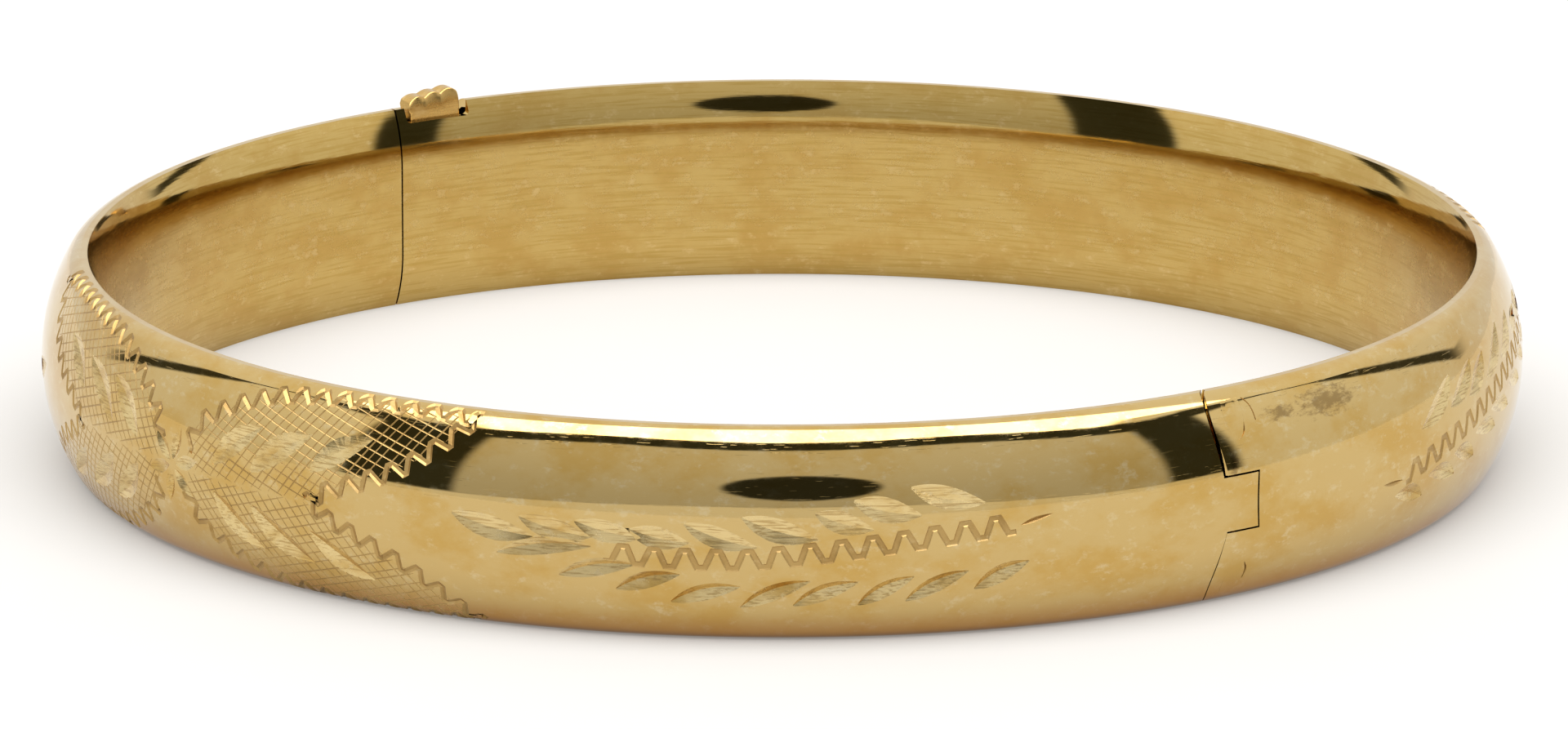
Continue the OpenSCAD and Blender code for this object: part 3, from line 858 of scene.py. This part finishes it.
def studio_light():
    """The world: a white tent, with an opening round the camera where a grey card hangs in a dark frame.
    Angles are in degrees, and azimuths are counted from the camera."""
    world = bpy.data.worlds.new("studio tent")
    bpy.context.scene.world = world
    world.use_nodes = True
    tree = world.node_tree
    background = tree.nodes["Background"]
    turn = math.radians(CAMERA_AZIMUTH)
    way = add_node(tree, "TexCoord").outputs["Generated"]
    ahead, right = (
        add_node(tree, "VectorMath", {0: way, 1: axis}, operation="DOT_PRODUCT")
        for axis in ((math.sin(turn), -math.cos(turn), 0), (math.cos(turn), math.sin(turn), 0))
    )
    up = add_node(tree, "SeparateXYZ", {0: way}).outputs["Z"]
    angle = add_node(tree, "Math", {0: right, 1: ahead}, operation="ARCTAN2")
    azimuth = add_node(tree, "Math", {0: angle, 1: 180 / math.pi}, operation="MULTIPLY")
    slope = add_node(tree, "Math", {0: up}, operation="ARCSINE")
    elevation = add_node(tree, "Math", {0: slope, 1: 180 / math.pi}, operation="MULTIPLY")
    side = add_node(tree, "Math", {0: azimuth}, operation="ABSOLUTE")

    # the brow of the tent's opening hangs lower the further round it goes, and so does its sill
    near = add_node(tree, "MapRange", {0: side, 1: 25.0, 2: 72.0, 3: 45.0, 4: 35.2}, **SMOOTH)
    far = add_node(tree, "MapRange", {0: side, 1: 92.0, 2: 130.0, 3: 0.0, 4: -29.0})
    brow = add_node(tree, "Math", {0: near, 1: far}, operation="ADD")
    above = add_node(tree, "Math", {0: elevation, 1: brow}, operation="SUBTRACT")
    sill = add_node(tree, "MapRange", {0: side, 1: 10.0, 2: 60.0, 3: 6.3, 4: 1.8}, **SMOOTH)
    over_sill = add_node(tree, "Math", {0: elevation, 1: sill}, operation="SUBTRACT")

    # the softbox is a flat panel: its outline is drawn on a level sheet one unit overhead
    height = add_node(tree, "Math", {0: up, 1: 0.05}, operation="MAXIMUM")
    across = add_node(tree, "Math", {0: right, 1: height}, operation="DIVIDE")
    forward = add_node(tree, "Math", {0: ahead, 1: height}, operation="DIVIDE")
    width = add_node(tree, "Math", {0: across}, operation="ABSOLUTE")
    back = add_node(tree, "Math", {0: width, 1: -0.25, 2: forward}, operation="MULTIPLY_ADD")

    # the camera's own outline is an oval
    aim = add_node(tree, "CombineXYZ", {0: azimuth, 1: elevation})
    off = add_node(tree, "VectorMath", {0: aim, 1: (3.0, 17.5, 0)}, operation="SUBTRACT")
    oval = add_node(tree, "VectorMath", {0: off, 1: (1 / 12.4, 1 / 7.4, 0)}, operation="MULTIPLY")
    from_camera = add_node(tree, "VectorMath", {0: oval}, operation="LENGTH")

    # each thing's light, and its edges: a measure, and where it is just outside and just inside
    card = add_node(tree, "MapRange", {0: elevation, 1: 3.0, 2: 40.0, 3: 0.6, 4: 0.82}, **SMOOTH)
    softbox = (above, -0.4, 0.4), (across, -1.06, -0.94), (across, 1.18, 1.06), (back, -0.35, -0.25)
    strip = (azimuth, -132, -124), (azimuth, 135, 127), (above, -4.1, -3.1), (above, 0.5, -0.5)
    frame_edges = (azimuth, -72.2, -69.8), (azimuth, 75.2, 72.8), (over_sill, -0.5, 0.5), (above, 0.4, -0.4)
    card_edges = (azimuth, -52.2, -49.8), (azimuth, 62.2, 59.8), (over_sill, -0.5, 0.5), (above, -4.4, -5.2)
    things = ((SOFTBOX_LIGHT, softbox), (STRIP_LIGHT, strip), (FRAME_LIGHT, frame_edges), (card, card_edges),
              (CAMERA_LIGHT, ((from_camera, 1.08, 0.92),)))
    light = add_node(tree, "MapRange", {0: elevation, 1: 0.0, 2: 45.0, 3: 0.95, 4: 1.15}, **SMOOTH)
    for colour, edges in things:
        cover = 1.0
        for measure, outside, inside in edges:
            edge = add_node(tree, "MapRange", {0: measure, 1: outside, 2: inside}, **SMOOTH)
            cover = add_node(tree, "Math", {0: cover, 1: edge}, operation="MULTIPLY")
        light = add_node(tree, "Mix", {0: cover, 6: light, 7: colour}, **COLOUR)
    tree.links.new(light.outputs[2], background.inputs["Color"])
    background.inputs["Strength"].default_value = 1.0


def camera():
    """The camera: far off, with a long lens, a little above the table."""
    data = bpy.data.cameras.new("camera")
    data.sensor_width = 36
    data.lens = CAMERA_LENS
    data.clip_end = 10
    thing = bpy.data.objects.new("camera", data)
    bpy.context.scene.collection.objects.link(thing)
    turn, tilt = math.radians(CAMERA_AZIMUTH), math.radians(CAMERA_ELEVATION)
    back = Vector((math.sin(turn) * math.cos(tilt), -math.cos(turn) * math.cos(tilt), math.sin(tilt)))
    right = Vector((math.cos(turn), math.sin(turn), 0))
    up = back.cross(right)
    middle = Vector((0, 0, HALF_W))
    thing.location = (middle + back * CAMERA_DISTANCE + right * CAMERA_SHIFT[0] + up * CAMERA_SHIFT[1]) * MM
    thing.rotation_euler = back.to_track_quat("Z", "Y").to_euler()
    bpy.context.scene.camera = thing


# ---------- what the sidebar offers ----------


def length(name, description, default):
    """A length property in metres. default is in millimetres."""
    return bpy.props.FloatProperty(name=name, description=description, default=default * MM, min=0.0,
                                   unit="LENGTH", precision=5)


def shade(name, description, default):
    """A colour property. default is an sRGB hex value."""
    return bpy.props.FloatVectorProperty(name=name, description=description, default=linear(default), size=4,
                                         min=0.0, max=1.0, subtype="COLOR")


class BangleSizes(bpy.types.PropertyGroup):
    """Sizes of the engraving."""

    leaf_depth: length("Leaf depth", "How deep the leaf cuts go into the shell", 0.14)
    hatch_spacing: length("Hatch spacing", "Distance between the fine lines of the bow", 0.42)
    hatch_width: length("Hatch width", "Width of the fine lines of the bow", 0.065)
    ribbon_width: length("Stem width", "Width of the wriggled stem of each branch", 0.27)


class BangleColours(bpy.types.PropertyGroup):
    """Colours of the gold."""

    polished: shade("Polished gold", "Clean colour of the domed outside", "#C9AD72")
    tarnish: shade("Tarnish", "Colour of the warm clouds on the polished gold", "#C3A05A")
    rubbed: shade("Rubbed gold", "Colour of the pale rubs on the polished gold", "#D2BE91")
    cut: shade("Bright cut", "Colour of the leaf cuts", "#DCC48C")
    satin: shade("Satin gold", "Clean colour of the inside wall", "#C6A865")
    satin_stain: shade("Satin tarnish", "Colour of the clouds on the inside wall", "#BE9B56")


GOLDS = {}


class BANGLE_OT_golds(bpy.types.Operator):
    """The alloys and finishes"""

    bl_idname = "bangle.golds"
    bl_label = "Gold finishes"

    def execute(self, context):
        c = context.scene.bangle_colours
        clean, tarnish, rubbed, cut = tuple(c.polished), tuple(c.tarnish), tuple(c.rubbed), tuple(c.cut)
        satin, satin_stain = tuple(c.satin), tuple(c.satin_stain)
        # yellow gold buffed on a wheel: a mirror softened by handling haze, with hair-fine scratches, and a
        # painted shade, darker and browner towards the lower rim, where the dome reflects the shadowed floor
        GOLDS["polished"] = gold("wheel-polished yellow gold", (clean, tarnish, rubbed), (0.02, 0.08),
                                 (2.4, 0.3), 0.0005, 0.0003, lower_shade=linear("#B9834A"), smudges=SMUDGES)
        # the same gold cut by a flat graver: bright, with chatter lines along the cut about 0.07 mm apart
        GOLDS["bright"] = gold("bright-cut yellow gold", (cut, tarnish, rubbed), (0.2, 0.32), (2.4, 0.08),
                               0.004, streak=linear("#A98A52"))
        # walked graver lines and the bow's hatching get a duller gold, with a browner, darker colour as
        # painted shade in their grooves
        GOLDS["line"] = gold("wriggle-cut gold with painted groove shade",
                             (linear("#B6975F"), linear("#A1814B"), linear("#C7AD79")), (0.36, 0.52),
                             (0.5, 0.1), 0.005)
        # the inside wall is only brushed: streaky, cloudy and warmer, with polished lips
        GOLDS["satin"] = gold("satin-brushed yellow gold", (satin, satin_stain, linear("#D6BA80")),
                              (0.2, 0.34), (2.8, 0.12), 0.0014, lip=0.06, streak=linear("#B8974F"))
        # hard gold for the hinge and tongue, drawn and rolled: even, dull, slightly redder
        GOLDS["hard"] = gold("hard-drawn gold wire",
                             (linear("#C4A05E"), linear("#AE854A"), linear("#D2B47A")), (0.2, 0.4), (1.0, 0.1),
                             0.004)
        return {"FINISHED"}


def finish_shell(piece, body, node):
    """Gives a shell its normals and its golds, and puts it in place of the CAD's node."""
    polish_normals(piece)
    mesh = piece.data
    kinds = [p.material_index for p in mesh.polygons]
    mesh.materials.clear()
    for key in ("polished", "bright", "line", "polished"):
        mesh.materials.append(GOLDS[key])
    mesh.polygons.foreach_set("material_index", kinds)
    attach(piece, body)
    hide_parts(node)


class BANGLE_OT_front_shell(bpy.types.Operator):
    """Engraved outside of the front half"""

    bl_idname = "bangle.front_shell"
    bl_label = "Front shell"

    def execute(self, context):
        piece = shell("engraved_front_shell", True)
        engrave(piece, FRONT_BOW, FRONT_STEM, (0, 0), context.scene.bangle_sizes, np.random.default_rng(11))
        finish_shell(piece, "front_half", "front_outer_shell")
        return {"FINISHED"}


class BANGLE_OT_back_shell(bpy.types.Operator):
    """Engraved outside of the back half"""

    bl_idname = "bangle.back_shell"
    bl_label = "Back shell"

    def execute(self, context):
        piece = shell("engraved_back_shell", False)
        engrave(piece, BACK_BOW, BACK_STEM, (0.4, 0.9), context.scene.bangle_sizes, np.random.default_rng(12))
        finish_shell(piece, "back_half", "back_outer_shell")
        return {"FINISHED"}


class BANGLE_OT_linings(bpy.types.Operator):
    """Inside walls of both halves"""

    bl_idname = "bangle.linings"
    bl_label = "Linings"

    def execute(self, context):
        for name, front in (("front", True), ("back", False)):
            piece = lining(f"satin_{name}_lining", front)
            piece.data.materials.append(GOLDS["satin"])
            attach(piece, f"{name}_half")
            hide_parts(f"{name}_inner_lining")
        return {"FINISHED"}


class BANGLE_OT_thumb_piece(bpy.types.Operator):
    """Scalloped thumb piece of the catch"""

    bl_idname = "bangle.thumb_piece"
    bl_label = "Thumb piece"

    def execute(self, context):
        piece = thumb()
        piece.data.materials.append(GOLDS["hard"])
        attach(piece, "catch")
        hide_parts("thumb_piece")
        return {"FINISHED"}


# which finish each piece carried over from the CAD has
CARRIED = {
    "satin": ("front_hinge_block", "back_hinge_block", "front_clasp_plate", "back_clasp_plate",
              "tongue_guide", "tongue_anchor"),
    "hard": ("hinge_pin", "tongue_base_leaf", "catch_leaf"),
    "polished": ("centre_hinge_tube", "upper_hinge_tube", "lower_hinge_tube", "upper_hinge_plug",
                 "lower_hinge_plug"),
}


class BANGLE_OT_carried(bpy.types.Operator):
    """Finishes of the pieces carried over from the CAD"""

    bl_idname = "bangle.carried"
    bl_label = "Hinge and clasp parts"

    def execute(self, context):
        for key, names in CARRIED.items():
            for name in names:
                mesh = frame["nodes"][name].data
                mesh.materials.clear()
                mesh.materials.append(GOLDS[key])
        return {"FINISHED"}


class BANGLE_OT_stage(bpy.types.Operator):
    """White table, studio tent and camera"""

    bl_idname = "bangle.stage"
    bl_label = "Stage"

    def execute(self, context):
        deselect()
        bpy.ops.mesh.primitive_plane_add(size=6)
        floor = added("floor")
        only(floor)
        bpy.ops.object.mode_set(mode="EDIT")
        bpy.ops.mesh.subdivide(number_cuts=7)
        bpy.ops.object.mode_set(mode="OBJECT")
        floor.data.materials.append(floor_material())
        studio_light()
        camera()
        context.scene.view_settings.view_transform = "Standard"
        return {"FINISHED"}


class BANGLE_PT_panel(bpy.types.Panel):
    """The sidebar panel"""

    bl_label = "Engraved Bangle"
    bl_idname = "BANGLE_PT_panel"
    bl_space_type = "VIEW_3D"
    bl_region_type = "UI"
    bl_category = "Bangle"

    def draw(self, context):
        for group in (context.scene.bangle_sizes, context.scene.bangle_colours):
            for prop in group.__annotations__:
                self.layout.prop(group, prop)
        for operator in OPERATORS:
            self.layout.operator(operator.bl_idname)


OPERATORS = (BANGLE_OT_golds, BANGLE_OT_front_shell, BANGLE_OT_back_shell, BANGLE_OT_linings,
             BANGLE_OT_thumb_piece, BANGLE_OT_carried, BANGLE_OT_stage)
GROUPS = (BangleSizes, BangleColours)


def register():
    for cls in (*GROUPS, *OPERATORS, BANGLE_PT_panel):
        bpy.utils.register_class(cls)
    bpy.types.Scene.bangle_sizes = bpy.props.PointerProperty(type=BangleSizes)
    bpy.types.Scene.bangle_colours = bpy.props.PointerProperty(type=BangleColours)


def unregister():
    del bpy.types.Scene.bangle_colours
    del bpy.types.Scene.bangle_sizes
    for cls in (BANGLE_PT_panel, *reversed(OPERATORS), *reversed(GROUPS)):
        bpy.utils.unregister_class(cls)


def main():
    """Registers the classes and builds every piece."""
    register()
    bpy.ops.bangle.golds()
    bpy.ops.bangle.front_shell()
    bpy.ops.bangle.back_shell()
    bpy.ops.bangle.linings()
    bpy.ops.bangle.thumb_piece()
    bpy.ops.bangle.carried()
    bpy.ops.bangle.stage()


if __name__ == "__main__":
    main()
